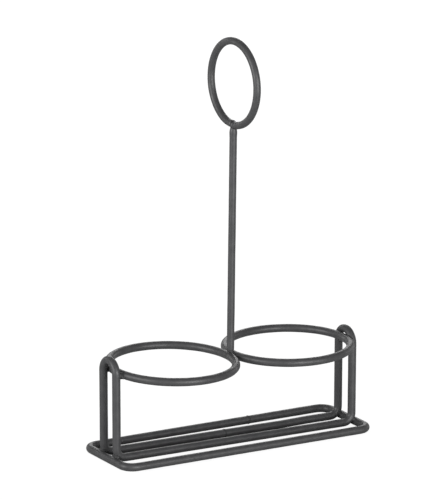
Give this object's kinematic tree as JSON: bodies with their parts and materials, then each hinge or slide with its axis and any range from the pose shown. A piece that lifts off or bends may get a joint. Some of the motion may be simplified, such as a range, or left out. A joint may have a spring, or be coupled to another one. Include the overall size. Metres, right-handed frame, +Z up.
{
  "type": "cruet rack",
  "caption": "Welded wire rack that carries bottles side by side in round rings over a flat hoop base, with a tall stem and a ring to lift it by.",
  "frame": {"origin": "on the table surface, under the middle of the stem, at the centre of the base", "axes": "+X along the rack from the left ring to the right ring, +Y to the back across the rack, +Z up along the stem"},
  "size_m": [0.1788, 0.083, 0.254],
  "materials": {
    "coated_wire": "satin dark grey powder coat",
    "coated_weld": "satin dark grey powder coat over rough weld metal"
  },
  "bodies": {
    "root": {"base_hoop": "coated_wire", "upright_loop": "coated_wire", "left_bottle_ring": "coated_wire", "right_bottle_ring": "coated_wire", "handle_stem": "coated_wire", "carrying_ring": "coated_wire", "stem_foot_weld": "coated_weld", "carrying_ring_weld": "coated_weld", "hoop_butt_weld": "coated_weld", "rail_butt_weld": "coated_weld", "foot_weld_left_front": "coated_weld", "foot_weld_left_back": "coated_weld", "foot_weld_right_front": "coated_weld", "foot_weld_right_back": "coated_weld", "ring_weld_left_front": "coated_weld", "ring_weld_left_back": "coated_weld", "ring_weld_right_front": "coated_weld", "ring_weld_right_back": "coated_weld"}
  },
  "joints": []
}
